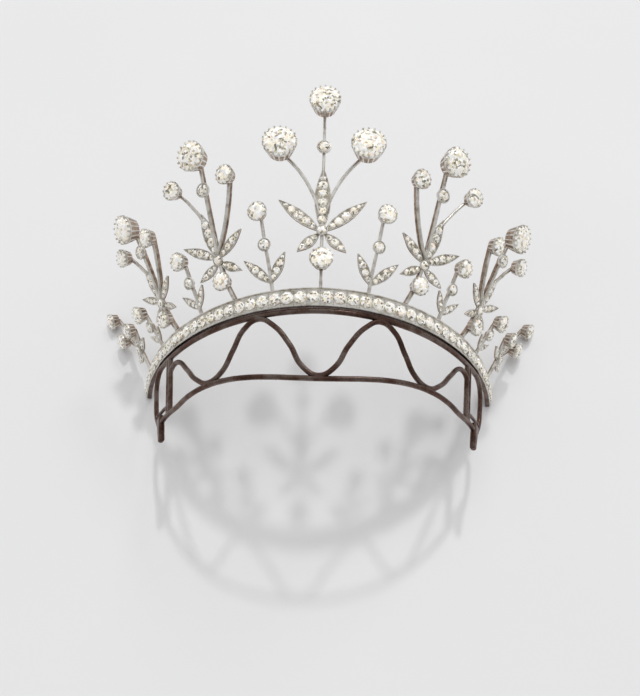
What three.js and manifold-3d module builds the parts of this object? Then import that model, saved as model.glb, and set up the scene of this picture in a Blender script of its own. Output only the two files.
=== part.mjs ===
// Diadem of flower sprays on a single-row band, over a wire frame that grips the hair.
// Millimetres. Each piece is drawn as worn, with Z up and the front towards -Y, and the
// whole is then laid on its back, on the ends of the band and the rear sprays, front up.
import * as THREE from 'three';
import { mergeVertices } from 'three/addons/utils/BufferGeometryUtils.js';
import Module from 'manifold-3d';

const wasm = await Module();
wasm.setup();

// Plan and frame
const PLAN_WIDTH = 120;
const PLAN_DEPTH = 80;
const PLAN_FULLNESS = 1.95;
const FLARE = 0.12;
const FRAME_HEIGHT = 18.2;
const WIRE = 1.5;
const RAIL_INSET = 0.5;

// Band
const BAND_HEIGHT = 5.2;
const BAND_THICKNESS = 1.8;
const BAND_END = 75;
const BAND_STONE = 3.3;
const BAND_STONE_PITCH = 3.6;
const BAND_STONE_RISE = 0.55;

// Sprays
const CENTRE_REACH = 61;
const FRONT_REACH = 43.5;
const SIDE_REACH = 36;
const REAR_REACH = 26.4;
const SPRIG_REACH = 22.2;
const SIDE_SPRIG_REACH = 16.4;
const REAR_SPRIG_REACH = 12;
const COLLET_LARGE = 10.8;
const COLLET_CROWN = 10;
const COLLET_MAIN = 9.4;
const COLLET_SIDE = 6.1;
const COLLET_SPRIG = 5.9;
const COLLET_BUD = 3.8;
const COLLET_WALL = 0.5;
const STEM = 1.15;
const STOUT_STEM = 1.5;
const LEAF_THICKNESS = 0.9;

const GAP = 0.3;
const SMALLEST = 0.05;
const HALF_WIDTH = PLAN_WIDTH / 2;
const RAD = Math.PI / 180;
const TOP_RAIL = -(BAND_HEIGHT / 2 + GAP + WIRE / 2);
const LOW_RAIL = -(BAND_HEIGHT / 2 + FRAME_HEIGHT);
const FRAME_SPAN = LOW_RAIL - TOP_RAIL;

// ---------- materials
function metal(color, roughness, metalness) {
  return new THREE.MeshStandardMaterial({ color, roughness, metalness });
}
function frameMetal() {
  return metal(0x4a3a33, 0.45, 0.8);
}
function silver() {
  return metal(0xb9b6ae, 0.3, 0.9);
}
function stoneMaterial() {
  return metal(0xeeeee6, 0.05, 0.0);
}

// ---------- solids
function toManifold(geometry) {
  const g = geometry.clone();
  g.deleteAttribute('normal');
  g.deleteAttribute('uv');
  const merged = mergeVertices(g, 1e-4);
  const mesh = new wasm.Mesh({
    numProp: 3,
    vertProperties: new Float32Array(merged.attributes.position.array),
    triVerts: new Uint32Array(merged.index.array),
  });
  mesh.merge();
  return new wasm.Manifold(mesh);
}

function toGeometry(solid) {
  const mesh = solid.getMesh();
  const g = new THREE.BufferGeometry();
  g.setAttribute('position', new THREE.BufferAttribute(new Float32Array(mesh.vertProperties), 3));
  g.setIndex(new THREE.BufferAttribute(new Uint32Array(mesh.triVerts), 1));
  g.computeVertexNormals();
  return g;
}

function fuse(list) {
  let all = toManifold(list[0]);
  for (const g of list.slice(1)) {
    all = all.add(toManifold(g));
  }
  // Pinholes that the union leaves inside the metal are shells of their own, and are filled.
  const shells = all.simplify(SMALLEST).decompose();
  return toGeometry(shells.reduce((a, b) => (b.volume() > a.volume() ? b : a)));
}

// ---------- curves
function ring(angle, z, inset = 0) {
  const s = Math.sin(angle * RAD);
  const c = Math.cos(angle * RAD);
  const e = 2 / PLAN_FULLNESS;
  const grow = 1 + (FLARE * z) / HALF_WIDTH;
  const x = Math.sign(s) * Math.pow(Math.abs(s), e) * (HALF_WIDTH - inset) * grow;
  const y = -Math.sign(c) * Math.pow(Math.abs(c), e) * (PLAN_DEPTH - inset) * grow;
  return new THREE.Vector3(x, y, z);
}

function roundShape(diameter, sides) {
  const shape = new THREE.Shape();
  for (let i = 0; i < sides; i += 1) {
    const a = ((i + 0.5) / sides) * 2 * Math.PI;
    const x = (Math.cos(a) * diameter) / 2;
    const y = (Math.sin(a) * diameter) / 2;
    if (i === 0) {
      shape.moveTo(x, y);
    } else {
      shape.lineTo(x, y);
    }
  }
  shape.closePath();
  return shape;
}

function wire(points, diameter, steps, sides = 6) {
  const path = new THREE.CatmullRomCurve3(points, false, 'centripetal');
  return new THREE.ExtrudeGeometry(roundShape(diameter, sides), { steps, extrudePath: path });
}

// ---------- stones and their settings
function stoneSize(collet) {
  return (collet - 2 * COLLET_WALL) / 1.07;
}

function girdleHeight(collet) {
  return stoneSize(collet) * 0.43 + STEM / 2 + GAP;
}

function cutStone(size) {
  const r = size / 2;
  const outline = [
    new THREE.Vector2(0, -size * 0.43),
    new THREE.Vector2(r, 0),
    new THREE.Vector2(r * 0.56, size * 0.16),
    new THREE.Vector2(0, size * 0.16),
  ];
  const g = new THREE.LatheGeometry(outline, 8);
  g.rotateX(Math.PI / 2);
  return g;
}

// Open tapered cup whose rim is cut into claws: every other rim corner stands up past the girdle.
function collet(size, sides) {
  const s = stoneSize(size);
  const girdle = girdleHeight(size);
  const low = STEM * 0.15;
  const rim = girdle - s * 0.05;
  const inside = s * 0.535;
  const outside = size / 2;
  const outline = [
    new THREE.Vector2(outside * 0.72, low),
    new THREE.Vector2(outside, rim),
    new THREE.Vector2(inside, rim),
    new THREE.Vector2(outside * 0.72 - COLLET_WALL, low),
    new THREE.Vector2(outside * 0.72, low),
  ];
  const g = new THREE.LatheGeometry(outline, sides);
  const p = g.attributes.position;
  for (let i = 0; i <= sides; i += 1) {
    if (i % 2 === 0) {
      for (const j of [1, 2]) {
        const k = i * outline.length + j;
        const lean = j === 1 ? 0.97 : 1.01;
        p.setXYZ(k, p.getX(k) * lean, girdle + s * 0.11, p.getZ(k) * lean);
      }
    }
  }
  g.rotateX(Math.PI / 2);
  return g;
}

// Closed collet and its stone in one body, for the buds half way up a stem.
function bud(size, sides = 8) {
  const r = size / 2;
  const outline = [
    new THREE.Vector2(0, -STEM * 0.6),
    new THREE.Vector2(r, size * 0.3),
    new THREE.Vector2(r * 0.55, size * 0.46),
    new THREE.Vector2(0, size * 0.46),
  ];
  const g = new THREE.LatheGeometry(outline, sides);
  g.rotateX(Math.PI / 2);
  return g;
}

function leaf(from, to, width) {
  const dx = to.x - from.x;
  const dy = to.y - from.y;
  const length = Math.hypot(dx, dy);
  const sideShares = [0.36, 0.5, 0.3];
  const alongShares = [0.2, 0.5, 0.82];
  const shape = new THREE.Shape();
  shape.moveTo(0, 0);
  alongShares.forEach((a, i) => shape.lineTo(a * length, sideShares[i] * width));
  shape.lineTo(length, 0);
  for (let i = alongShares.length - 1; i >= 0; i -= 1) {
    shape.lineTo(alongShares[i] * length, -sideShares[i] * width);
  }
  shape.closePath();
  const g = new THREE.ExtrudeGeometry(shape, { depth: LEAF_THICKNESS, bevelEnabled: false });
  g.translate(0, 0, -LEAF_THICKNESS / 2 + 0.1);
  g.rotateZ(Math.atan2(dy, dx));
  g.translate(from.x, from.y, 0);
  return g;
}

// ---------- sprays: x and y are shares of the reach, x outward from the middle of the diadem
const CENTRE = {
  stems: [
    [[0, 0], [0, 0.17]],
    [[0, 0.15], [0, 0.4], [0, 0.72], [0, 1]],
    [[-0.012, 0.38], [-0.045, 0.49], [-0.12, 0.63], [-0.21, 0.735]],
    [[0.012, 0.38], [0.045, 0.49], [0.12, 0.63], [0.21, 0.735]],
  ],
  stones: [
    { id: 'crown', x: 0, y: 1, size: COLLET_CROWN },
    { id: 'inner', x: -0.21, y: 0.735, size: COLLET_LARGE },
    { id: 'outer', x: 0.21, y: 0.735, size: COLLET_LARGE },
    { id: 'lower', x: 0, y: 0.124, size: COLLET_SPRIG * 1.18 },
  ],
  buds: [
    { x: 0, y: 0.755, size: COLLET_BUD * 1.15 },
    { x: 0, y: 0.29, size: COLLET_BUD * 0.9 },
  ],
  leaves: [
    { x: 0.015, y: 0.275, tipX: 0.11, tipY: 0.182, width: 0.052 },
    { x: -0.015, y: 0.275, tipX: -0.11, tipY: 0.182, width: 0.052 },
    { x: 0.015, y: 0.295, tipX: 0.205, tipY: 0.455, width: 0.06 },
    { x: -0.015, y: 0.295, tipX: -0.205, tipY: 0.455, width: 0.06 },
    { x: 0, y: 0.3, tipX: 0, tipY: 0.645, width: 0.078 },
  ],
};

const LARGE = {
  stout: 3,
  stems: [
    [[0, 0], [0.042, 0.125], [0.07, 0.28]],
    [[0.07, 0.26], [0.085, 0.5], [0.098, 0.76], [0.11, 1]],
    [[0.075, 0.32], [0.01, 0.44], [-0.06, 0.62], [-0.108, 0.8]],
    [[0.085, 0.4], [0.13, 0.54], [0.22, 0.7], [0.326, 0.84]],
  ],
  stones: [
    { id: 'crown', x: 0.11, y: 1, size: COLLET_MAIN },
    { id: 'inner', x: -0.108, y: 0.8, size: COLLET_SIDE },
    { id: 'outer', x: 0.326, y: 0.84, size: COLLET_SIDE },
    { id: 'lower', x: 0.042, y: 0.125, size: COLLET_SIDE * 0.95 },
  ],
  buds: [
    { x: 0.1, y: 0.775, size: COLLET_BUD * 1.15 },
    { x: 0.07, y: 0.28, size: COLLET_BUD * 0.85 },
  ],
  leaves: [
    { x: 0.08, y: 0.31, tipX: 0.155, tipY: 0.63, width: 0.09 },
    { x: 0.06, y: 0.3, tipX: -0.13, tipY: 0.435, width: 0.068 },
    { x: 0.085, y: 0.3, tipX: 0.335, tipY: 0.44, width: 0.068 },
    { x: 0.06, y: 0.26, tipX: -0.088, tipY: 0.17, width: 0.06 },
    { x: 0.085, y: 0.26, tipX: 0.24, tipY: 0.18, width: 0.06 },
  ],
};

const REAR = {
  stems: [
    [[0, 0], [0.015, 0.12], [0.03, 0.32]],
    [[0.03, 0.28], [0.13, 0.5], [0.3, 0.76], [0.46, 1]],
    [[0.035, 0.3], [0, 0.36], [-0.05, 0.56]],
    [[0.04, 0.3], [0.16, 0.42], [0.35, 0.63]],
  ],
  stones: [
    { id: 'crown', x: 0.46, y: 1, size: COLLET_SIDE },
    { id: 'inner', x: -0.05, y: 0.56, size: COLLET_SIDE * 0.95 },
    { id: 'outer', x: 0.35, y: 0.63, size: COLLET_SIDE },
  ],
  buds: [{ x: 0.03, y: 0.3, size: COLLET_BUD }],
  leaves: [
    { x: 0.03, y: 0.28, tipX: -0.24, tipY: 0.33, width: 0.1 },
    { x: 0.04, y: 0.27, tipX: 0.3, tipY: 0.24, width: 0.1 },
    { x: 0.04, y: 0.34, tipX: 0.11, tipY: 0.66, width: 0.1 },
  ],
};

const SPRIG = {
  stems: [[[0, 0], [0.02, 0.3], [0.05, 0.585], [0.085, 1]]],
  stones: [{ id: 'crown', x: 0.085, y: 1, size: COLLET_SPRIG }],
  buds: [{ x: 0.05, y: 0.585, size: COLLET_BUD }],
  leaves: [
    { x: 0.01, y: 0.1, tipX: 0.34, tipY: 0.43, width: 0.13 },
    { x: 0.005, y: 0.1, tipX: -0.2, tipY: 0.46, width: 0.13 },
  ],
};

const SPRAYS = [
  { name: 'centre_spray', plan: CENTRE, angle: 0, lean: 6, reach: CENTRE_REACH },
  { name: 'front_sprig', plan: SPRIG, angle: 13.1, lean: 20, reach: SPRIG_REACH },
  { name: 'front_spray', plan: LARGE, angle: 23.9, lean: 22, reach: FRONT_REACH },
  { name: 'side_sprig', plan: SPRIG, angle: 35.1, lean: 26, reach: SIDE_SPRIG_REACH },
  { name: 'side_spray', plan: LARGE, angle: 45.5, lean: 28, reach: SIDE_REACH },
  { name: 'rear_sprig', plan: SPRIG, angle: 54.2, lean: 34, reach: REAR_SPRIG_REACH },
  { name: 'rear_spray', plan: REAR, angle: 67.3, lean: 29, reach: REAR_REACH },
];

function sprayMetal(spray, side) {
  const r = spray.reach;
  const at = (p) => new THREE.Vector3(side * p[0] * r, p[1] * r, 0);
  const list = [];
  spray.plan.stems.forEach((stem, i) => {
    list.push(wire(stem.map(at), i < (spray.plan.stout || 0) ? STOUT_STEM : STEM, stem.length > 3 ? 4 : 2));
  });
  for (const s of spray.plan.stones) {
    const g = collet(s.size, s.size > COLLET_SPRIG * 1.3 ? 12 : 8);
    g.translate(side * s.x * r, s.y * r, 0);
    list.push(g);
  }
  for (const b of spray.plan.buds) {
    const g = bud(b.size);
    g.translate(side * b.x * r, b.y * r, 0);
    list.push(g);
  }
  for (const l of spray.plan.leaves) {
    const from = { x: side * l.x * r, y: l.y * r };
    const to = { x: side * l.tipX * r, y: l.tipY * r };
    list.push(leaf(from, to, l.width * r));
  }
  return fuse(list);
}

function sprayPlace(spray, side) {
  const angle = side * spray.angle;
  const inset = BAND_THICKNESS / 2;
  const base = ring(angle, BAND_HEIGHT / 2, inset);
  const along = ring(angle + 0.5, BAND_HEIGHT / 2, inset).sub(ring(angle - 0.5, BAND_HEIGHT / 2, inset));
  along.normalize();
  const out = new THREE.Vector3(along.y, -along.x, 0);
  const lean = spray.lean * RAD;
  const up = new THREE.Vector3(0, 0, Math.cos(lean)).addScaledVector(out, Math.sin(lean));
  const face = new THREE.Vector3().crossVectors(along, up);
  const matrix = new THREE.Matrix4().makeBasis(along, up, face);
  const group = new THREE.Group();
  base.addScaledVector(up, GAP + (STEM / 2) * Math.sin(lean));
  group.position.copy(base);
  group.setRotationFromMatrix(matrix);
  return group;
}

// ---------- build
const tiara = new THREE.Group();
const meshes = [];

function addMesh(parent, name, geometry, material) {
  const mesh = new THREE.Mesh(geometry, material);
  mesh.name = name;
  parent.add(mesh);
  meshes.push(mesh);
  return mesh;
}

// Wire frame, soldered into one piece
const FRAME_INSET = BAND_THICKNESS / 2 + RAIL_INSET - 0.4;
const BAR_ANGLE = 50;
const BAR_SPREAD = 0.6;
const END_ANGLE = 60;
const FOOT_ANGLE = 56;
// The lower rail bellies down and in at the middle of the front, and up and out beside it.
const BELLY_ANGLE = 31;
const BELLY_DROP = 0.045;
const BELLY_INSET = 1.4;
const WAVE_NODES = [
  { angle: 50, depth: 0.27 },
  { angle: 47.6, depth: 0.19 },
  { angle: 45, depth: 0.21 },
  { angle: 40.5, depth: 0.48 },
  { angle: 36, depth: 0.79 },
  { angle: 31, depth: 0.955 },
  { angle: 27, depth: 0.83 },
  { angle: 24, depth: 0.5 },
  { angle: 21, depth: 0.17 },
  { angle: 17, depth: 0.045 },
  { angle: 12.8, depth: 0.18 },
  { angle: 8.2, depth: 0.5 },
  { angle: 4.6, depth: 0.83 },
  { angle: 0, depth: 0.955 },
];

function framePoint(angle, depth) {
  const swing = Math.abs(angle) < BELLY_ANGLE * 1.5 ? Math.cos((Math.PI * angle) / BELLY_ANGLE) : 0;
  const z = TOP_RAIL + depth * FRAME_SPAN * (1 + BELLY_DROP * swing);
  return ring(angle, z, FRAME_INSET + BELLY_INSET * depth * swing);
}

function railPoints(depth, span, count) {
  const points = [];
  for (let i = 0; i <= count; i += 1) {
    points.push(framePoint(-span + (2 * span * i) / count, depth));
  }
  return points;
}

function frameSolid() {
  const at = framePoint;
  const list = [];
  const topRail = [];
  for (const side of [-1, 1]) {
    const end = [
      at(side * (FOOT_ANGLE + 1.2), 1.02),
      at(side * (END_ANGLE - 0.8), 0.82),
      at(side * END_ANGLE, 0.5),
      at(side * (END_ANGLE - 0.4), 0.18),
      at(side * (END_ANGLE - 2.6), 0.03),
    ];
    topRail.push(end);
  }
  const middle = railPoints(0, END_ANGLE - 6, 18);
  list.push(wire([...topRail[0], ...middle, ...topRail[1].reverse()], WIRE, 34));
  const low = railPoints(1, BAR_ANGLE + 2, 16);
  list.push(wire([at(-FOOT_ANGLE, 1.03), ...low, at(FOOT_ANGLE, 1.03)], WIRE, 20));
  const half = WAVE_NODES.map((n) => at(n.angle, n.depth));
  const other = WAVE_NODES.slice(0, -1).map((n) => at(-n.angle, n.depth)).reverse();
  list.push(wire([...half, ...other], WIRE, 50));
  for (const side of [-1, 1]) {
    for (const angle of [BAR_ANGLE - BAR_SPREAD, BAR_ANGLE + BAR_SPREAD]) {
      list.push(wire([at(side * angle, -0.01), at(side * angle, 0.5), at(side * angle, 1.01)], WIRE, 2));
    }
    list.push(wire([at(side * BAR_ANGLE, 0.84), at(side * (END_ANGLE - 0.7), 0.84)], WIRE * 0.7, 1));
    list.push(footTab(side, at));
  }
  return fuse(list);
}

// Flat tapered foot below the end of the frame, its broad faces turned in and out
const FOOT_WIDTH = 3.8;
const FOOT_TIP = 2.2;
const FOOT_LENGTH = 8.2;
const FOOT_THICKNESS = 1.7;

function footTab(side, at) {
  const shape = new THREE.Shape();
  shape.moveTo(-FOOT_WIDTH / 2, 0);
  shape.lineTo(-FOOT_TIP / 2, -FOOT_LENGTH);
  shape.lineTo(FOOT_TIP / 2, -FOOT_LENGTH);
  shape.lineTo(FOOT_WIDTH / 2, 0);
  shape.closePath();
  const g = new THREE.ExtrudeGeometry(shape, { depth: FOOT_THICKNESS, bevelEnabled: false });
  g.translate(0, 0, -FOOT_THICKNESS / 2);
  const top = at(side * FOOT_ANGLE, 0.9);
  const along = at(side * FOOT_ANGLE + 1, 0.9).sub(at(side * FOOT_ANGLE - 1, 0.9)).normalize();
  const up = top.clone().sub(at(side * (FOOT_ANGLE - 1.2), 1.5)).normalize();
  const face = new THREE.Vector3().crossVectors(along, up).normalize();
  along.crossVectors(up, face).normalize();
  const m = new THREE.Matrix4().makeBasis(along, up, face);
  m.setPosition(top);
  g.applyMatrix4(m);
  return g;
}

// Band: a strip bent to the plan and flared, two stones of the row to each flat of its front
function bandSteps() {
  const table = [];
  let length = 0;
  let last = ring(-BAND_END, 0);
  for (let i = 0; i <= 600; i += 1) {
    const angle = -BAND_END + (2 * BAND_END * i) / 600;
    const p = ring(angle, 0);
    length += p.distanceTo(last);
    table.push({ angle, length });
    last = p;
  }
  const flats = Math.round(length / (2 * BAND_STONE_PITCH));
  const angles = [];
  for (let i = 0; i <= flats; i += 1) {
    const near = table.find((t) => t.length >= (length * i) / flats - 1e-6);
    angles.push(i * 2 === flats ? 0 : near.angle);
  }
  for (let i = 0; i * 2 < flats; i += 1) {
    angles[flats - i] = -angles[i];
  }
  return angles;
}

function bandStrip(angles) {
  const shape = new THREE.Shape();
  const outer = angles.map((a) => ring(a, 0, 0));
  const inner = angles.map((a) => ring(a, 0, BAND_THICKNESS)).reverse();
  outer.forEach((p, i) => (i === 0 ? shape.moveTo(p.x, p.y) : shape.lineTo(p.x, p.y)));
  inner.forEach((p) => shape.lineTo(p.x, p.y));
  shape.closePath();
  const g = new THREE.ExtrudeGeometry(shape, { depth: BAND_HEIGHT, bevelEnabled: false });
  g.translate(0, 0, -BAND_HEIGHT / 2);
  const p = g.attributes.position;
  for (let i = 0; i < p.count; i += 1) {
    const grow = 1 + (FLARE * p.getZ(i)) / HALF_WIDTH;
    p.setXYZ(i, p.getX(i) * grow, p.getY(i) * grow, p.getZ(i));
  }
  return g;
}

function bandStones(angles) {
  const list = [];
  const outline = [
    new THREE.Vector2(0, -0.3),
    new THREE.Vector2(BAND_STONE / 2, -0.3),
    new THREE.Vector2(BAND_STONE * 0.28, BAND_STONE_RISE),
    new THREE.Vector2(0, BAND_STONE_RISE),
  ];
  for (let i = 1; i < angles.length; i += 1) {
    const from = ring(angles[i - 1], 0);
    const to = ring(angles[i], 0);
    const along = to.clone().sub(from).normalize();
    const rise = ring((angles[i - 1] + angles[i]) / 2, 1).sub(ring((angles[i - 1] + angles[i]) / 2, -1));
    const face = new THREE.Vector3().crossVectors(along, rise).normalize();
    const up = new THREE.Vector3().crossVectors(face, along).normalize();
    for (const share of [0.25, 0.75]) {
      const g = new THREE.LatheGeometry(outline, 8);
      g.rotateX(Math.PI / 2);
      const m = new THREE.Matrix4().makeBasis(along, up, face);
      m.setPosition(from.clone().lerp(to, share));
      g.applyMatrix4(m);
      list.push(g);
    }
  }
  return list;
}

const frameGeometry = frameSolid();
const bandAngles = bandSteps();
const bandGeometry = fuse([bandStrip(bandAngles), ...bandStones(bandAngles)]);

for (const spray of SPRAYS) {
  const sides = spray.angle === 0 ? [1] : [-1, 1];
  for (const side of sides) {
    const tag = spray.angle === 0 ? '' : side < 0 ? '_left' : '_right';
    const group = sprayPlace(spray, side);
    tiara.add(group);
    addMesh(group, spray.name + tag, sprayMetal(spray, side), silver());
    for (const s of spray.plan.stones) {
      const id = spray.angle === 0 ? s.id.replace('inner', 'left').replace('outer', 'right') : s.id;
      const name = `${spray.name.replace('spray', 'spray_stone').replace('sprig', 'sprig_stone')}_${id}${tag}`;
      const mesh = addMesh(group, name, cutStone(stoneSize(s.size)), stoneMaterial());
      mesh.position.set(side * s.x * spray.reach, s.y * spray.reach, girdleHeight(s.size));
      mesh.rotation.z = Math.PI / 8;
    }
  }
}
const frameMesh = addMesh(tiara, 'wire_frame', frameGeometry, frameMetal());
const bandMesh = addMesh(tiara, 'stone_band', bandGeometry, silver());

// ---------- resting pose: on its back, tipped until the band's ends and the rear sprays touch
tiara.updateMatrixWorld(true);
function cornersOf(list) {
  const points = [];
  for (const mesh of list) {
    const p = mesh.geometry.attributes.position;
    for (let i = 0; i < p.count; i += 1) {
      points.push(new THREE.Vector3().fromBufferAttribute(p, i).applyMatrix4(mesh.matrixWorld));
    }
  }
  return points;
}
const corners = cornersOf(meshes);
const bandCorners = cornersOf([bandMesh]);
let tip = 0.2;
for (let turn = 0; turn < 4; turn += 1) {
  const reachDown = (p) => p.y * Math.cos(tip) + p.z * Math.sin(tip);
  const heel = bandCorners.reduce((a, b) => (reachDown(b) > reachDown(a) ? b : a));
  const angles = corners.filter((p) => p.z > heel.z + BAND_HEIGHT * 2);
  tip = angles.reduce((a, p) => Math.min(a, Math.atan2(heel.y - p.y, p.z - heel.z)), Infinity);
}
tiara.rotation.x = -(Math.PI / 2 + tip);

const group = new THREE.Group();
group.name = 'diadem';
group.add(tiara);
group.updateMatrixWorld(true);
const box = new THREE.Box3();
for (const mesh of meshes) {
  mesh.geometry.computeBoundingBox();
  box.expandByObject(mesh, true);
}
const centre = box.getCenter(new THREE.Vector3());
tiara.position.set(-centre.x, -centre.y, -box.min.z);

export default group;
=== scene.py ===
"""Looks of the diadem: diamond sprays in silver on gold, a stone-set band and a dark wire frame.

Pieces are drawn in millimetres as the diadem is worn, Z up and front towards -Y, and are then
laid on their back with the same turn as the solids. Inside a spray, X runs along the band away
from the middle, Y up the spray and Z out of its front.
"""

import math
import random

import bmesh
import bpy
from mathutils import Matrix, Vector


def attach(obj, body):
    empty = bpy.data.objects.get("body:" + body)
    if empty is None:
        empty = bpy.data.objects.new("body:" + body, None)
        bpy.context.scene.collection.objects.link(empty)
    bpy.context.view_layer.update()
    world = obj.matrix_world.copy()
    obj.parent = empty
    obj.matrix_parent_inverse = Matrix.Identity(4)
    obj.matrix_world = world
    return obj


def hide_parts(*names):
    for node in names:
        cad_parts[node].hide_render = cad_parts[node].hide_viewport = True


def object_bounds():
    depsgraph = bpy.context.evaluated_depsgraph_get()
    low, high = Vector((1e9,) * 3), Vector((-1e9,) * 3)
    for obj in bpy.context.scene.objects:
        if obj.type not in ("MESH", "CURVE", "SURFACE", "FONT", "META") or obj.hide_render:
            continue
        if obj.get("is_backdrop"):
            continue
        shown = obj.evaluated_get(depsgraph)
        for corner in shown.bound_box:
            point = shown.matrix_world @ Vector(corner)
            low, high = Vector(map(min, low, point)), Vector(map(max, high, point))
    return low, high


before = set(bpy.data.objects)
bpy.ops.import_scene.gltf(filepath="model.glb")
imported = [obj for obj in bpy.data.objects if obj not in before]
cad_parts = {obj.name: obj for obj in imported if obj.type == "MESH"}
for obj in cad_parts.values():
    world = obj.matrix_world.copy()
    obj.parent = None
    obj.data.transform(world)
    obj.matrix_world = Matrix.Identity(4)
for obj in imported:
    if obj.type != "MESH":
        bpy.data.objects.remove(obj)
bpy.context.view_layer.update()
random.seed(7)

# ---------- sizes in millimetres, as in the solids
HALF_WIDTH = 60
PLAN_DEPTH = 80
PLAN_FULLNESS = 1.95
FLARE = 0.12
BAND_HEIGHT = 5.2
BAND_THICKNESS = 1.8
BAND_END = 75
BAND_STONE = 3.3
BAND_STONE_PITCH = 3.6
WIRE = 1.5
FRAME_INSET = 1.0
FRAME_HEIGHT = 18.2
BAR_ANGLE = 50
BAR_SPREAD = 0.6
BELLY_ANGLE = 31
BELLY_DROP = 0.045
BELLY_INSET = 1.4
END_ANGLE = 60
FOOT_ANGLE = 56
FOOT_LENGTH = 8.2
FOOT_TOP = 3.8
FOOT_TIP = 2.2
FOOT_THICKNESS = 1.7
STEM = 1.15
STOUT_STEM = 1.5
GAP = 0.3
COLLET_WALL = 0.5
TOP_RAIL = -(BAND_HEIGHT / 2 + GAP + WIRE / 2)
LOW_RAIL = -(BAND_HEIGHT / 2 + FRAME_HEIGHT)
LARGE, CROWN, MAIN, SIDE, SPRIG, BUD = 10.8, 10.0, 9.4, 6.1, 5.9, 3.8

# ---------- sizes in millimetres of what is drawn here alone
GRAIN = 0.2
CLAW = 0.31
SMALL_CLAW = 0.27
LEAF_BACK = -0.34
LEAF_BED = 0.24
LEAF_RIM = 0.15
STONE_TOP = 0.27
STONE_DROP = 0.02
FOOT_EDGE = 0.68
SMALLEST_STONE = 0.55
LARGEST_LEAF_STONE = 2.9

# ---------- from worn millimetres to the resting diadem in metres
TIP = math.asin(0.03007)
ONTO_FLOOR = (0, -22.23865, -19.51794)
PLACE = (
    Matrix.Scale(0.001, 4)
    @ Matrix.Translation(ONTO_FLOOR)
    @ Matrix.Rotation(-(math.pi / 2 + TIP), 4, "X")
)


# ---------- materials
def srgb(code):
    parts = [int(code[i : i + 2], 16) / 255 for i in (1, 3, 5)]
    line = [c / 12.92 if c <= 0.04045 else ((c + 0.055) / 1.055) ** 2.4 for c in parts]
    return (*line, 1.0)


def feed(owner, node, inputs):
    """Sets a node's inputs to values, or links them to (node, output) pairs."""
    for key, value in inputs.items():
        if isinstance(value, tuple) and isinstance(value[0], bpy.types.Node):
            owner.node_tree.links.new(value[0].outputs[value[1]], node.inputs[key])
        else:
            node.inputs[key].default_value = value


def add(owner, kind, inputs=None, stops=(), **settings):
    """A node with its inputs and settings; stops are a ramp's places and colours."""
    new = owner.node_tree.nodes.new(kind)
    for key, value in settings.items():
        setattr(new, key, value)
    feed(owner, new, inputs or {})
    if stops:
        marks = new.color_ramp.elements
        while len(marks) < len(stops):
            marks.new(0.5)
        for mark, (at, code) in zip(marks, stops):
            mark.position = at
            mark.color = srgb(code)
    return new


def start(name):
    material = bpy.data.materials.new(name)
    material.use_nodes = True
    return material, material.node_tree.nodes["Principled BSDF"]


def worn_metal(name, bright, dull, dark, rough, patch_mm, scratch_mm, bump):
    """A polished metal with dull and dark patches and fine polishing scratches."""
    material, shader = start(name)
    place = add(material, "ShaderNodeTexCoord")
    patches = add(
        material,
        "ShaderNodeTexNoise",
        {"Vector": (place, "Object"), "Scale": 1000 / patch_mm, "Detail": 4.0, "Roughness": 0.62},
    )
    colour = add(
        material,
        "ShaderNodeValToRGB",
        {"Fac": (patches, "Fac")},
        stops=((0.3, dark), (0.47, dull), (0.62, bright)),
    )
    fine = add(
        material,
        "ShaderNodeTexNoise",
        {"Vector": (place, "Object"), "Scale": 1000 / scratch_mm, "Detail": 3.0},
    )
    gloss = add(
        material,
        "ShaderNodeMapRange",
        {"Value": (fine, "Fac"), "To Min": rough - 0.08, "To Max": rough + 0.14},
    )
    dents = add(
        material,
        "ShaderNodeBump",
        {"Height": (fine, "Fac"), "Strength": bump, "Distance": 0.00005},
    )
    feed(
        material,
        shader,
        {
            "Base Color": (colour, "Color"),
            "Roughness": (gloss, "Result"),
            "Normal": (dents, "Normal"),
            "Metallic": 1.0,
        },
    )
    return material


# Silver fronts, hand polished: soft pale grey with slightly yellow, duller patches.
silver = worn_metal("polished_silver", "#f0eee9", "#dedad2", "#b1aa9d", 0.36, 2.4, 0.5, 0.25)
# Yellow-rose gold backs, seen between the claws and behind the leaves as a warm brown.
gold = worn_metal("rose_gold_backing", "#c4b2a2", "#a08c7c", "#6d5e53", 0.36, 2.0, 0.45, 0.25)
# Silver of the beds between the stones, never polished: greyer and a little brown.
bed_silver = worn_metal("silver_stone_bed", "#d8d3c8", "#c0b9ab", "#968d7e", 0.45, 1.2, 0.35, 0.3)
# Gold wire of the frame, darkened by wear: brown-black with reddish and grey sheen.
dark_wire = worn_metal("darkened_gold_wire", "#776962", "#5c463e", "#3d2d28", 0.26, 7.0, 0.6, 0.25)


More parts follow.
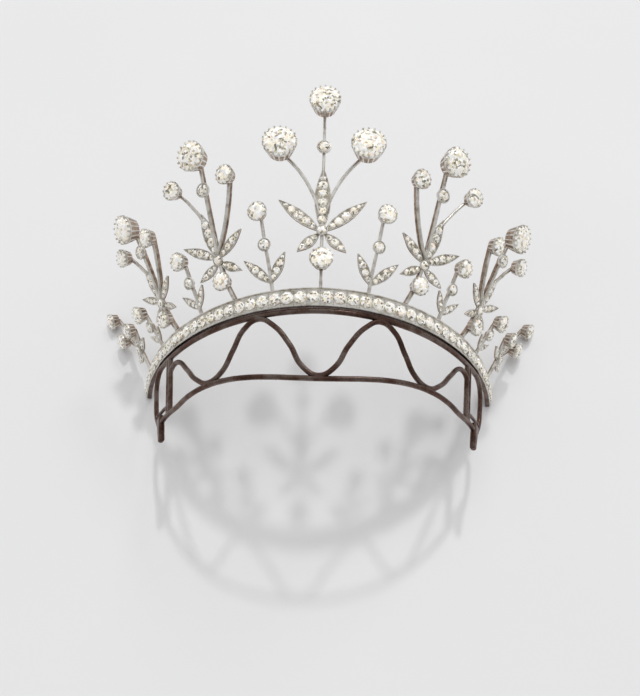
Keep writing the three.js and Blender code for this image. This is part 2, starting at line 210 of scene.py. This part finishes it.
def diamond(name, reflection_fleck_mm, lift, share, dim):
    """Old-cut diamond, drawn opaque: near-white facets, each with its own painted reflection
    brightness, broken into small dark, olive and peach flecks of painted reflection, standing for
    the light a real stone returns from its back facets; the colour is also emitted as a faint
    painted glow."""
    material, shader = start(name)
    place = add(material, "ShaderNodeTexCoord")
    # Painted reflection: each facet's own random brightness.
    facet = add(material, "ShaderNodeAttribute", attribute_name="facet")
    cells = add(
        material,
        "ShaderNodeTexVoronoi",
        {"Vector": (place, "Object"), "Scale": 1000 / reflection_fleck_mm},
    )
    cell = add(material, "ShaderNodeSeparateColor", {"Color": (cells, "Color")})
    weighed = add(
        material,
        "ShaderNodeMath",
        {0: (cell, "Red"), 1: 1.0 - share, 2: -dim},
        operation="MULTIPLY_ADD",
    )
    mix = add(
        material,
        "ShaderNodeMath",
        {0: (facet, "Fac"), 1: share, 2: (weighed, "Value")},
        operation="MULTIPLY_ADD",
    )
    # Painted reflections: flecks and facets from dark olive grey to white, for light returned
    # inside the stone.
    tone = add(
        material,
        "ShaderNodeValToRGB",
        {"Fac": (mix, "Value")},
        stops=(
            (0.0, "#5e5b51"),
            (0.12, "#858172"),
            (0.2, "#bfb9a8"),
            (0.3, "#e6e2d6"),
            (0.42, "#fcfbf6"),
            (0.7, "#ffffff"),
        ),
    )
    # Painted reflections in warm tints: straw and peach flecks.
    warm = add(
        material,
        "ShaderNodeValToRGB",
        {"Fac": (cell, "Green")},
        stops=(
            (0.0, "#ffffff"),
            (0.55, "#ffffff"),
            (0.66, "#fbf7e8"),
            (0.8, "#f3ecd6"),
            (0.93, "#f5e4d6"),
        ),
    )
    colour = add(
        material,
        "ShaderNodeMixRGB",
        {"Fac": 1.0, "Color1": (tone, "Color"), "Color2": (warm, "Color")},
        blend_type="MULTIPLY",
    )
    # Each fleck is tipped its own way, so the light breaks up into small flashes.
    flat = add(material, "ShaderNodeNewGeometry")
    away = add(
        material,
        "ShaderNodeVectorMath",
        {0: (cells, "Color"), 1: (0.5, 0.5, 0.5)},
        operation="SUBTRACT",
    )
    tipped = add(
        material,
        "ShaderNodeVectorMath",
        {0: (away, "Vector"), 1: (0.9, 0.9, 0.9), 2: (flat, "Normal")},
        operation="MULTIPLY_ADD",
    )
    even = add(material, "ShaderNodeVectorMath", {0: (tipped, "Vector")}, operation="NORMALIZE")
    feed(
        material,
        shader,
        {
            "Base Color": (colour, "Color"),
            # Painted glow: the stone emits its own colour, so it shines without a lamp.
            "Emission Color": (colour, "Color"),
            "Emission Strength": lift,
            "Normal": (even, "Vector"),
            "Roughness": 0.12,
            "IOR": 2.0,
        },
    )
    return material


# Main stones: old-cut diamond, large pale facets with a few dark and straw-coloured flecks, all of
# it painted reflection, with a faint painted glow.
main_diamond = diamond("old_cut_diamond", 0.66, 0.2, 0.36, 0.02)
# Stones of the band, leaves and buds: small diamond, finer painted reflection flecks, a little
# greyer, with a fainter painted glow.
small_diamond = diamond("grain_set_diamond", 0.5, 0.14, 0.3, 0.06)


# ---------- mesh helpers
def to_object(bm, name, material, place, smooth=True, stands_for=()):
    bmesh.ops.remove_doubles(bm, verts=bm.verts, dist=1e-5)
    bm.transform(place)
    mesh = bpy.data.meshes.new(name)
    bm.to_mesh(mesh)
    bm.free()
    mesh.materials.append(material)
    mesh.polygons.foreach_set("use_smooth", [smooth] * len(mesh.polygons))
    piece = bpy.data.objects.new(name, mesh)
    bpy.context.scene.collection.objects.link(piece)
    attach(piece, "root")
    if stands_for:
        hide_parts(*stands_for)
    return piece


def sharpen(piece):
    """Splits the shading where two faces meet at a clear edge."""
    piece.data.set_sharp_from_angle(angle=math.radians(35))


def copy_into(bm, mesh, place):
    """Adds one placed copy of a small mesh."""
    before = len(bm.verts)
    bm.from_mesh(mesh)
    bm.verts.ensure_lookup_table()
    bmesh.ops.transform(bm, matrix=place, verts=bm.verts[before:])


def keep(bm, name):
    mesh = bpy.data.meshes.new(name)
    bm.to_mesh(mesh)
    bm.free()
    return mesh


def wires(bm, runs, sides=3, place=None):
    """Round wires. Each run is (points, radii, smooth, closed); radii are one per point."""
    curve = bpy.data.curves.new("wire_run", "CURVE")
    curve.dimensions = "3D"
    curve.bevel_depth = 1.0
    curve.bevel_resolution = sides
    curve.use_fill_caps = True
    for points, radii, smooth, closed in runs:
        if smooth:
            spline = curve.splines.new("BEZIER")
            spline.bezier_points.add(len(points) - 1)
            spline.resolution_u = 8
            for knot, p, r in zip(spline.bezier_points, points, radii):
                knot.co = p
                knot.radius = r
                knot.handle_left_type = knot.handle_right_type = "AUTO"
        else:
            spline = curve.splines.new("POLY")
            spline.points.add(len(points) - 1)
            for knot, p, r in zip(spline.points, points, radii):
                knot.co = (*p, 1)
                knot.radius = r
        spline.use_cyclic_u = closed
    holder = bpy.data.objects.new("wire_run", curve)
    bpy.context.scene.collection.objects.link(holder)
    state = bpy.context.evaluated_depsgraph_get()
    mesh = bpy.data.meshes.new_from_object(holder.evaluated_get(state))
    before = len(bm.verts)
    bm.from_mesh(mesh)
    if place is not None:
        bm.verts.ensure_lookup_table()
        bmesh.ops.transform(bm, matrix=place, verts=bm.verts[before:])
    bpy.data.meshes.remove(mesh)
    bpy.data.objects.remove(holder)
    bpy.data.curves.remove(curve)


def turned(outline, sides):
    """A turned shape: a closed outline of (radius, height) spun about Z."""
    bm = bmesh.new()
    points = [bm.verts.new((r, 0, z)) for r, z in outline]
    edges = [bm.edges.new((a, b)) for a, b in zip(points, points[1:])]
    if outline[0][0] > 1e-6:
        edges.append(bm.edges.new((points[-1], points[0])))
    bmesh.ops.spin(
        bm,
        geom=points + edges,
        cent=(0, 0, 0),
        axis=(0, 0, 1),
        angle=2 * math.pi,
        steps=sides,
        use_merge=True,
    )
    bmesh.ops.remove_doubles(bm, verts=bm.verts, dist=1e-5)
    bmesh.ops.recalc_face_normals(bm, faces=bm.faces)
    return bm


def old_cut(size, wide):
    """Old brilliant cut: small table, steep crown, open culet."""
    bm = bmesh.new()
    rings = (
        (8, 0.0, 0.27, 0.16),
        (8, 0.5, 0.4, 0.095),
        (16, 0.0, 0.5, 0.012),
        (16, 0.0, 0.5, -0.012),
        (8, 0.5, 0.3, -0.2),
        (8, 0.0, 0.05, -0.425),
    )
    for count, turn, radius, height in rings:
        for i in range(count):
            a = (i + turn) * 2 * math.pi / count
            bm.verts.new((math.cos(a) * radius * wide, math.sin(a) * radius * wide, height * size))
    bmesh.ops.convex_hull(bm, input=bm.verts)
    bmesh.ops.dissolve_limit(bm, angle_limit=0.02, verts=bm.verts, edges=bm.edges)
    return keep(bm, "old_cut")


def facet_order(face):
    """Row by row and round the stone, so that each facet looks the same in every run."""
    middle = face.calc_center_median()
    return middle.z * 1000 + math.atan2(middle.y, middle.x)


def small_cut(size, sides=8):
    """Crown of a small stone sunk in its setting."""
    shape = ((0, -0.2), (0.5, 0), (0.38, 0.11), (0.24, 0.17), (0, 0.17))
    bm = turned([(r * size, z * size) for r, z in shape], sides)
    bmesh.ops.dissolve_limit(bm, angle_limit=0.02, verts=bm.verts, edges=bm.edges)
    bm.faces.sort(key=facet_order)
    return keep(bm, "small_cut")


def bead(radius, detail=1):
    """A small ball: a grain, or a drop of solder."""
    bm = bmesh.new()
    bmesh.ops.create_icosphere(bm, subdivisions=detail, radius=radius)
    return keep(bm, "bead")


def ring_point(angle, z, inset=0.0):
    """A place on the band's flared plan, turned from the middle of the front."""
    s, c = math.sin(math.radians(angle)), math.cos(math.radians(angle))
    power = 2 / PLAN_FULLNESS
    grow = 1 + FLARE * z / HALF_WIDTH
    x = math.copysign(abs(s) ** power, s) * (HALF_WIDTH - inset) * grow
    y = -math.copysign(abs(c) ** power, c) * (PLAN_DEPTH - inset) * grow
    return Vector((x, y, z))


def paint_facet_reflections(piece):
    """Gives each facet a random brightness, a painted reflection, for the diamond's material."""
    facet = piece.data.attributes.new("facet", "FLOAT", "FACE")
    facet.data.foreach_set("value", [random.random() for _ in piece.data.polygons])


# ---------- stones in claw collets
def stone_size(collet):
    return (collet - 2 * COLLET_WALL) / 1.07


def girdle_height(collet):
    return stone_size(collet) * 0.43 + STEM / 2 + GAP


def stone_width(collet):
    return collet - 0.85


def claw_collet(metal, back, size, at):
    """Open collet: a tapered gold cup with a ring of silver claws closing over the girdle."""
    # The claws stay within the flats of the solids' collets, which have few sides.
    s, girdle, outside = stone_size(size), girdle_height(size), size / 2 * 0.962
    edge = stone_width(size) / 2
    low, rim = 0.17, girdle - s * 0.05
    foot = outside * 0.72
    cup = turned(
        [
            (foot - 0.1, low),
            (foot + (outside - foot) * 0.45 - 0.12, low + (rim - low) * 0.45),
            (outside * 0.945, rim),
            (edge + 0.02, rim),
            (edge * 0.8, low + (rim - low) * 0.5),
            (foot - 0.45, low),
        ],
        24,
    )
    copy_into(back, keep(cup, "cup"), at)
    ledge = turned(
        [
            (outside * 0.955, rim - 0.45),
            (outside * 0.975, rim + 0.1),
            (edge, rim + 0.14),
            (edge - 0.05, rim - 0.45),
        ],
        28,
    )
    copy_into(metal, keep(ledge, "ledge"), at)
    count = 18 if size > 9.6 else 16 if size > 7 else 12
    thick = CLAW if size > 7 else SMALL_CLAW
    runs = []
    for i in range(count):
        a = (i + 0.5) * 2 * math.pi / count
        c, d = math.cos(a), math.sin(a)
        line = (
            (foot - thick * 0.8, low + 0.2, 0.8),
            (foot + (outside - foot) * 0.5 - thick * 0.95, low + (rim - low) * 0.5, 0.95),
            (outside - thick * 1.1, rim, 1.1),
            (outside - thick * 1.1, girdle + s * 0.025, 1.1),
            (edge * 0.975, girdle + s * 0.06, 0.95),
            (edge * 0.93, girdle + s * 0.075, 0.5),
        )
        points = [(r * c, r * d, z) for r, z, _ in line]
        runs.append((points, [thick * k for _, _, k in line], False, False))
    wires(metal, runs, sides=1, place=at)


def bud_collet(metal, back, stones, size, at):
    """Small round collet with a raised rim and its stone."""
    r = size / 2
    cup = turned(
        [
            (r * 0.45, -STEM * 0.55),
            (r * 0.9, size * 0.16),
            (r * 0.92, size * 0.26),
            (r * 0.6, size * 0.2),
            (0.1, -STEM * 0.4),
        ],
        18,
    )
    copy_into(back, keep(cup, "bud_cup"), at)
    rim = turned(
        [
            (r * 0.93, size * 0.1),
            (r, size * 0.24),
            (r * 0.96, size * 0.33),
            (r * 0.82, size * 0.34),
            (r * 0.78, size * 0.2),
        ],
        20,
    )
    copy_into(metal, keep(rim, "bud_rim"), at)
    lifted = at @ Matrix.Translation((0, 0, size * 0.31))
    copy_into(stones, small_cut(size * 0.8, 10), lifted)


# ---------- leaves
def leaf_outline(length, width):
    shares = (
        (0.0, 0.05), (0.06, 0.16), (0.16, 0.31), (0.3, 0.44), (0.46, 0.5),
        (0.6, 0.46), (0.74, 0.34), (0.86, 0.19), (0.95, 0.07),
    )
    upper = [(a * length, w * width) for a, w in shares]
    return upper + [(length, 0.0)] + [(a, -w) for a, w in reversed(upper)]


def half_width_at(share, width):
    table = (
        (0, 0.05), (0.16, 0.31), (0.3, 0.44), (0.46, 0.5),
        (0.6, 0.46), (0.74, 0.34), (0.86, 0.19), (1, 0),
    )
    for (a, wa), (b, wb) in zip(table, table[1:]):
        if a <= share <= b:
            return (wa + (wb - wa) * (share - a) / (b - a)) * width
    return 0.0


def leaf(metal, back, bed, stones, start_at, tip, width):
    """Pointed leaf: gold back plate, dull bed, bright rim, a graded row of stones with grains."""
    dx, dy = tip[0] - start_at[0], tip[1] - start_at[1]
    length = math.hypot(dx, dy)
    at = Matrix.Translation((*start_at, 0)) @ Matrix.Rotation(math.atan2(dy, dx), 4, "Z")
    outline = leaf_outline(length, width)
    for target, low, high, shrink in (
        (back, LEAF_BACK, 0.02, 0.96),
        (bed, 0.02, LEAF_BED, 0.97),
    ):
        plate = bmesh.new()
        face = plate.faces.new([plate.verts.new((x, y * shrink, low)) for x, y in outline])
        made = bmesh.ops.extrude_face_region(plate, geom=[face])["geom"]
        upper = [v for v in made if isinstance(v, bmesh.types.BMVert)]
        bmesh.ops.translate(plate, vec=(0, 0, high - low), verts=upper)
        bmesh.ops.recalc_face_normals(plate, faces=plate.faces)
        copy_into(target, keep(plate, "leaf_plate"), at)
    rim = [Vector((x, y * 0.95, STONE_TOP)) for x, y in outline]
    wires(metal, [(rim, [LEAF_RIM] * len(rim), False, True)], sides=1, place=at)
    share = 0.1
    seats = []
    while share < 0.93:
        size = min(1.7 * half_width_at(share + 0.06, width), LARGEST_LEAF_STONE)
        if size < SMALLEST_STONE:
            share += 0.04
            continue
        middle = share + size / 2 / length
        if middle > 0.93:
            break
        seats.append((middle * length, size))
        share = middle + (size / 2 + 0.03) / length
    for x, size in seats:
        turn = Matrix.Rotation(random.random(), 4, "Z")
        copy_into(stones, small_cut(size), at @ Matrix.Translation((x, 0, STONE_TOP)) @ turn)
    for (xa, sa), (xb, sb) in zip(seats, seats[1:]):
        x = xa + sa / 2 + 0.02
        y = half_width_at(x / length, width) * 0.66
        for side in (-1, 1):
            copy_into(metal, grain, at @ Matrix.Translation((x, side * y, 0.33)))


grain = bead(GRAIN)

# ---------- sprays, in shares of each one's reach: x outward along the band, y up the spray
CENTRE = dict(
    stems=(
        ((0, 0), (0, 0.17)),
        ((0, 0.15), (0, 0.4), (0, 0.72), (0, 1)),
        ((-0.012, 0.38), (-0.045, 0.49), (-0.12, 0.63), (-0.21, 0.735)),
        ((0.012, 0.38), (0.045, 0.49), (0.12, 0.63), (0.21, 0.735)),
    ),
    stones=((0, 1, CROWN), (-0.21, 0.735, LARGE), (0.21, 0.735, LARGE), (0, 0.124, SPRIG * 1.18)),
    buds=((0, 0.755, BUD * 1.15), (0, 0.29, BUD * 0.9)),
    leaves=(
        (0.015, 0.275, 0.11, 0.182, 0.052),
        (-0.015, 0.275, -0.11, 0.182, 0.052),
        (0.015, 0.295, 0.205, 0.455, 0.06),
        (-0.015, 0.295, -0.205, 0.455, 0.06),
        (0, 0.3, 0, 0.645, 0.078),
    ),
)
THREE_FLOWERS = dict(
    stout=3,
    stems=(
        ((0, 0), (0.042, 0.125), (0.07, 0.28)),
        ((0.07, 0.26), (0.085, 0.5), (0.098, 0.76), (0.11, 1)),
        ((0.075, 0.32), (0.01, 0.44), (-0.06, 0.62), (-0.108, 0.8)),
        ((0.085, 0.4), (0.13, 0.54), (0.22, 0.7), (0.326, 0.84)),
    ),
    stones=(
        (0.11, 1, MAIN),
        (-0.108, 0.8, SIDE),
        (0.326, 0.84, SIDE),
        (0.042, 0.125, SIDE * 0.95),
    ),
    buds=((0.1, 0.775, BUD * 1.15), (0.07, 0.28, BUD * 0.85)),
    leaves=(
        (0.08, 0.31, 0.155, 0.63, 0.09),
        (0.06, 0.3, -0.13, 0.435, 0.068),
        (0.085, 0.3, 0.335, 0.44, 0.068),
        (0.06, 0.26, -0.088, 0.17, 0.06),
        (0.085, 0.26, 0.24, 0.18, 0.06),
    ),
)
REAR = dict(
    stems=(
        ((0, 0), (0.015, 0.12), (0.03, 0.32)),
        ((0.03, 0.28), (0.13, 0.5), (0.3, 0.76), (0.46, 1)),
        ((0.035, 0.3), (0, 0.36), (-0.05, 0.56)),
        ((0.04, 0.3), (0.16, 0.42), (0.35, 0.63)),
    ),
    stones=((0.46, 1, SIDE), (-0.05, 0.56, SIDE * 0.95), (0.35, 0.63, SIDE)),
    buds=((0.03, 0.3, BUD),),
    leaves=(
        (0.03, 0.28, -0.24, 0.33, 0.1),
        (0.04, 0.27, 0.3, 0.24, 0.1),
        (0.04, 0.34, 0.11, 0.66, 0.1),
    ),
)
TWO_LEAVES = dict(
    stems=(((0, 0), (0.02, 0.3), (0.05, 0.585), (0.085, 1)),),
    stones=((0.085, 1, SPRIG),),
    buds=((0.05, 0.585, BUD),),
    leaves=((0.01, 0.1, 0.34, 0.43, 0.13), (0.005, 0.1, -0.2, 0.46, 0.13)),
)
# Name, plan, place on the band in degrees, outward lean in degrees, reach in millimetres.
SPRAYS = (
    ("centre_spray", CENTRE, 0, 6, 61),
    ("front_sprig", TWO_LEAVES, 13.1, 20, 22.2),
    ("front_spray", THREE_FLOWERS, 23.9, 22, 43.5),
    ("side_sprig", TWO_LEAVES, 35.1, 26, 16.4),
    ("side_spray", THREE_FLOWERS, 45.5, 28, 36),
    ("rear_sprig", TWO_LEAVES, 54.2, 34, 12),
    ("rear_spray", REAR, 67.3, 29, 26.4),
)


def spray_place(angle, lean):
    """Stands a spray on the band's upper edge, leaning outwards."""
    edge, inset = BAND_HEIGHT / 2, BAND_THICKNESS / 2
    along = ring_point(angle + 0.5, edge, inset) - ring_point(angle - 0.5, edge, inset)
    along.normalize()
    out = Vector((along.y, -along.x, 0))
    tilt = math.radians(lean)
    up = Vector((0, 0, math.cos(tilt))) + out * math.sin(tilt)
    face = along.cross(up)
    base = ring_point(angle, edge, inset) + up * (GAP + STEM / 2 * math.sin(tilt))
    place = Matrix((along, up, face)).transposed().to_4x4()
    place.translation = base
    return PLACE @ place


def build_spray(name, plan, angle, lean, reach, side, tag):
    """One spray or sprig: stems, collets, stones, buds and leaves, laid in its place."""
    metal, back, bed, mains, smalls = (bmesh.new() for _ in range(5))
    fronts, backs = [], []
    for i, stem in enumerate(plan["stems"]):
        line = [Vector((side * x * reach, y * reach, 0)) for x, y in stem]
        smooth = len(line) > 2
        stout = i < plan.get("stout", 0)
        thick = (STOUT_STEM if stout else STEM) / 2
        lift, share = (0.4, 0.66) if stout else (0.2, 0.84)
        raised = [p + Vector((0, 0, thick * lift)) for p in line]
        fronts.append((raised, [thick * share] * len(line), smooth, False))
        for depth in (0.05, 0.5) if stout else (0.24,):
            sunk = [p - Vector((0, 0, depth)) for p in line]
            backs.append((sunk, [thick * 0.76] * len(line), smooth, False))
    wires(metal, fronts)
    wires(back, backs)
    for x, y, size in plan["stones"]:
        at = Matrix.Translation((side * x * reach, y * reach, 0))
        claw_collet(metal, back, size, at)
        turn = Matrix.Rotation(random.random(), 4, "Z")
        seat = Matrix.Translation((0, 0, girdle_height(size) - STONE_DROP))
        copy_into(mains, old_cut(stone_size(size), stone_width(size)), at @ seat @ turn)
    for x, y, size in plan["buds"]:
        at = Matrix.Translation((side * x * reach, y * reach, 0))
        bud_collet(metal, back, smalls, size, at)
    for x, y, tip_x, tip_y, width in plan["leaves"]:
        root = (side * x * reach, y * reach)
        tip = (side * tip_x * reach, tip_y * reach)
        leaf(metal, back, bed, smalls, root, tip, width * reach)
    place = spray_place(side * angle, lean)
    stem_name = name.replace("spray", "spray_stone").replace("sprig", "sprig_stone")
    gems = [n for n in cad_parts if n.startswith(stem_name) and n.endswith(tag)]
    whole = name + tag
    sharpen(to_object(metal, whole + "_silver", silver, place, True, [whole]))
    sharpen(to_object(back, whole + "_gold", gold, place))
    to_object(bed, whole + "_beds", bed_silver, place, False)
    paint_facet_reflections(to_object(mains, whole + "_stones", main_diamond, place, False, gems))
    small_stones = whole + "_small_stones"
    paint_facet_reflections(to_object(smalls, small_stones, small_diamond, place, False))


for name, plan, angle, lean, reach in SPRAYS:
    for side, tag in ((1, ""),) if angle == 0 else ((-1, "_left"), (1, "_right")):
        build_spray(name, plan, angle, lean, reach, side, tag)


# ---------- stone-set band
def loft(bm, sections):
    """Skin over matching closed sections, with both ends capped."""
    rings = []
    for section in sections:
        points = [bm.verts.new(p) for p in section]
        rings.append([bm.edges.new(pair) for pair in zip(points, points[1:] + points[:1])])
        if section in (sections[0], sections[-1]):
            bm.faces.new(points)
    for ring, following in zip(rings, rings[1:]):
        bmesh.ops.bridge_loops(bm, edges=ring + following)
    bmesh.ops.recalc_face_normals(bm, faces=bm.faces)


def band_angles():
    """The angles of the band's flats, all of one length, each with two stones."""
    steps = [-BAND_END + 2 * BAND_END * i / 600 for i in range(601)]
    lengths = [0.0]
    for a, b in zip(steps, steps[1:]):
        lengths.append(lengths[-1] + (ring_point(b, 0) - ring_point(a, 0)).length)
    flats = round(lengths[-1] / (2 * BAND_STONE_PITCH))
    angles = []
    for i in range(flats + 1):
        want = lengths[-1] * i / flats
        angles.append(steps[min(range(601), key=lambda k: abs(lengths[k] - want))])
    return angles


def band_section(angle, outline):
    return [ring_point(angle, z, inset) for inset, z in outline]


angles = band_angles()
fine = [angles[0] + (angles[-1] - angles[0]) * i / 120 for i in range(121)]
half = BAND_HEIGHT / 2
# Upper halves of the outlines, as inset and distance below the band's edge.
back_half = (
    (BAND_THICKNESS, 0.25), (BAND_THICKNESS - 0.25, 0.05), (0.3, 0.03), (0.3, 0.2), (0.45, 0.3),
)
front_half = ((0.4, 0.3), (0.1, 0.24), (0, 0.18), (0, 0.06), (0.05, 0), (0.25, 0), (0.5, 0.1))
band_back, band_front, band_gems = bmesh.new(), bmesh.new(), bmesh.new()
for bm, shape in ((band_back, back_half), (band_front, front_half)):
    outline = [(x, half - d) for x, d in shape] + [(x, d - half) for x, d in reversed(shape)]
    loft(bm, [band_section(a, outline) for a in fine])
band_cut = small_cut(BAND_STONE + 0.4, 8)
seats = []
for a, b in zip(angles, angles[1:]):
    low, high = ring_point(a, 0), ring_point(b, 0)
    along = (high - low).normalized()
    middle = (a + b) / 2
    rise = ring_point(middle, 1) - ring_point(middle, -1)
    face = along.cross(rise).normalized()
    up = face.cross(along)
    turn = Matrix((along, up, face)).transposed().to_4x4()
    for share in (0.25, 0.75):
        seats.append((low.lerp(high, share), turn, along, up, face))
for point, turn, along, up, face in seats:
    copy_into(
        band_gems,
        band_cut,
        Matrix.Translation(point - face * 0.12) @ turn @ Matrix.Rotation(random.random(), 4, "Z"),
    )
for (p, _, _, up, face), (q, _, _, up_b, _) in zip(seats, seats[1:]):
    for height, sunk in ((-0.37, 0.05), (0.37, 0.05), (-0.24, 0.08), (0.24, 0.08)):
        at = (p + q) / 2 + (up + up_b) * height * half - face * sunk
        copy_into(band_front, grain, Matrix.Translation(at))
band = to_object(
    band_front, "band_silver_front", silver, PLACE, stands_for=["stone_band"]
)
sharpen(band)
sharpen(to_object(band_back, "band_dark_back", dark_wire, PLACE))
paint_facet_reflections(to_object(band_gems, "band_stones", small_diamond, PLACE, False))

# ---------- wire frame
# One half of the wavy wire: degrees from the middle, depth as a share of the frame's height.
WAVE = (
    (50, 0.27), (47.6, 0.19), (45, 0.21), (40.5, 0.48), (36, 0.79), (31, 0.955), (27, 0.83),
    (24, 0.5), (21, 0.17), (17, 0.045), (12.8, 0.18), (8.2, 0.5), (4.6, 0.83), (0, 0.955),
)
# Solder drops: degrees, depth and length.
SOLDER = (
    (31, 0.975, 1.9), (17, 0.025, 1.7), (50, 0.02, 1.4),
    (50, 0.98, 1.3), (57.2, 0.84, 0.9), (50, 0.84, 0.9),
)


def frame_point(angle, depth):
    """A place on the frame; the lower rail bellies down and in at the middle of the front."""
    swing = math.cos(math.pi * angle / BELLY_ANGLE) if abs(angle) < BELLY_ANGLE * 1.5 else 0
    z = TOP_RAIL + depth * (LOW_RAIL - TOP_RAIL) * (1 + BELLY_DROP * swing)
    return ring_point(angle, z, FRAME_INSET + BELLY_INSET * depth * swing)


frame_metal = bmesh.new()
runs = []
r = WIRE / 2
rail = [frame_point(a, 0) for a in range(-54, 55, 6)]
ends = [
    [
        frame_point(side * (FOOT_ANGLE + 1.2), 1.02),
        frame_point(side * (END_ANGLE - 0.8), 0.82),
        frame_point(side * END_ANGLE, 0.5),
        frame_point(side * (END_ANGLE - 0.4), 0.18),
        frame_point(side * (END_ANGLE - 2.6), 0.03),
    ]
    for side in (-1, 1)
]
top = ends[0] + rail + ends[1][::-1]
runs.append((top, [r] * len(top), True, False))
low = [frame_point(-52 + 6.5 * i, 1) for i in range(17)]
low = [frame_point(-FOOT_ANGLE, 1.03)] + low + [frame_point(FOOT_ANGLE, 1.03)]
runs.append((low, [r] * len(low), True, False))
wave = [frame_point(a, d) for a, d in WAVE] + [frame_point(-a, d) for a, d in WAVE[-2::-1]]
runs.append((wave, [r] * len(wave), True, False))
for side in (-1, 1):
    for angle in (BAR_ANGLE - BAR_SPREAD, BAR_ANGLE + BAR_SPREAD):
        bar = [frame_point(side * angle, d) for d in (-0.01, 0.3, 0.5, 0.75, 1.01)]
        runs.append((bar, [r] * 5, True, False))
    plate = [frame_point(side * a, 0.84) for a in (BAR_ANGLE, 54, END_ANGLE - 0.7)]
    runs.append((plate, [0.52, 0.52, 0.52], True, False))
wires(frame_metal, runs, sides=4)
solder = bead(1.0, 3)
drops = [(side * angle, depth, long) for side in (-1, 1) for angle, depth, long in SOLDER]
for angle, depth, long in [(0, 0.975, 1.9)] + drops:
    at = Matrix.Translation(frame_point(angle, depth))
    along = (frame_point(angle + 1, depth) - frame_point(angle - 1, depth)).normalized()
    turn = along.to_track_quat("X", "Z").to_matrix().to_4x4()
    copy_into(frame_metal, solder, at @ turn @ Matrix.Diagonal((long, 0.74, 0.72, 1)))


def foot(bm, side):
    """Flat tapered foot, its edges eased."""
    top_at = frame_point(side * FOOT_ANGLE, 0.9)
    along = frame_point(side * FOOT_ANGLE + 1, 0.9) - frame_point(side * FOOT_ANGLE - 1, 0.9)
    along.normalize()
    up = (top_at - frame_point(side * (FOOT_ANGLE - 1.2), 1.5)).normalized()
    face = along.cross(up).normalized()
    along = up.cross(face).normalized()
    bar = bmesh.new()
    made = bmesh.ops.create_cube(bar, size=1.0)
    for v in made["verts"]:
        wide = FOOT_TOP if v.co.y > 0 else FOOT_TIP
        v.co = Vector((v.co.x * wide, (v.co.y - 0.5) * FOOT_LENGTH, v.co.z * FOOT_THICKNESS))
    bmesh.ops.bevel(
        bar,
        geom=list(bar.edges),
        offset=FOOT_EDGE,
        segments=4,
        profile=0.5,
        affect="EDGES",
        material=-1,
    )
    place = Matrix((along, up, face)).transposed().to_4x4()
    place.translation = top_at
    copy_into(bm, keep(bar, "foot"), place)


for side in (-1, 1):
    foot(frame_metal, side)
wire_frame = to_object(
    frame_metal, "wire_frame_dark", dark_wire, PLACE, stands_for=["wire_frame"]
)
sharpen(wire_frame)

# ---------- floor, light and camera
# Pale matt paper under the diadem, with a very faint unevenness.
paper, paper_shader = start("pale_paper")
place = add(paper, "ShaderNodeTexCoord")
cloud = add(
    paper,
    "ShaderNodeTexNoise",
    {"Vector": (place, "Object"), "Scale": 9.0, "Detail": 2.0},
)
tone = add(
    paper,
    "ShaderNodeValToRGB",
    {"Fac": (cloud, "Fac")},
    stops=((0.0, "#e9e9ea"), (1.0, "#efeff0")),
)
feed(paper, paper_shader, {"Base Color": (tone, "Color"), "Roughness": 0.9})
bpy.ops.mesh.primitive_plane_add(size=6, location=(0, 0, -0.0001))
floor = bpy.context.object
floor.name = "floor"
floor.data.materials.append(paper)
floor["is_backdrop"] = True

world = bpy.data.worlds.new("studio")
bpy.context.scene.world = world
world.use_nodes = True
# A white room, a little dimmer on the viewer's side, so that the metal shows its form.
toward = add(world, "ShaderNodeTexCoord")
parts = add(world, "ShaderNodeSeparateXYZ", {"Vector": (toward, "Generated")})
shade = add(
    world,
    "ShaderNodeMapRange",
    {"Value": (parts, "Y"), "From Min": -1.0, "To Min": 0.36, "To Max": 0.72},
)
room = world.node_tree.nodes["Background"]
feed(world, room, {"Color": (1, 1, 1, 1), "Strength": (shade, "Result")})


def lamp(name, where, size, power, glossy):
    """A round soft lamp that looks at the diadem; one that isn't glossy leaves no reflection."""
    light = bpy.data.lights.new(name, "AREA")
    light.shape = "DISK"
    light.size = size
    light.energy = power
    piece = bpy.data.objects.new(name, light)
    bpy.context.scene.collection.objects.link(piece)
    piece.location = where
    piece.rotation_mode = "QUATERNION"
    piece.rotation_quaternion = (-Vector(where)).to_track_quat("-Z", "Y")
    piece.visible_glossy = glossy


# The key throws the shadow towards the viewer, the panel fills it, and the glint sparkles.
lamp("key", (0.25, 2.48, 3.07), 0.24, 34.0, False)
lamp("ceiling_panel", (0, 0.9, 3.6), 3.2, 33.0, False)
lamp("glint", (0.6, 1.5, 1.5), 0.4, 4.0, True)

# Camera at the viewing angle that was fitted to the photograph.
camera = bpy.data.cameras.new("camera")
camera.lens = 38.018
camera.sensor_width = 36
camera.clip_start = 0.01
camera.clip_end = 20
view = bpy.data.objects.new("camera", camera)
bpy.context.scene.collection.objects.link(view)
view.matrix_world = (
    Matrix.Translation((0.000722, -0.1232, 0.226501))
    @ Matrix(
        (
            (0.99971, -0.02412, 0.00241),
            (0.02245, 0.88365, -0.46761),
            (0.00915, 0.46753, 0.88393),
        )
    ).to_4x4()
)
bpy.context.scene.camera = view
bpy.context.scene.view_settings.view_transform = "Standard"

low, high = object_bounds()
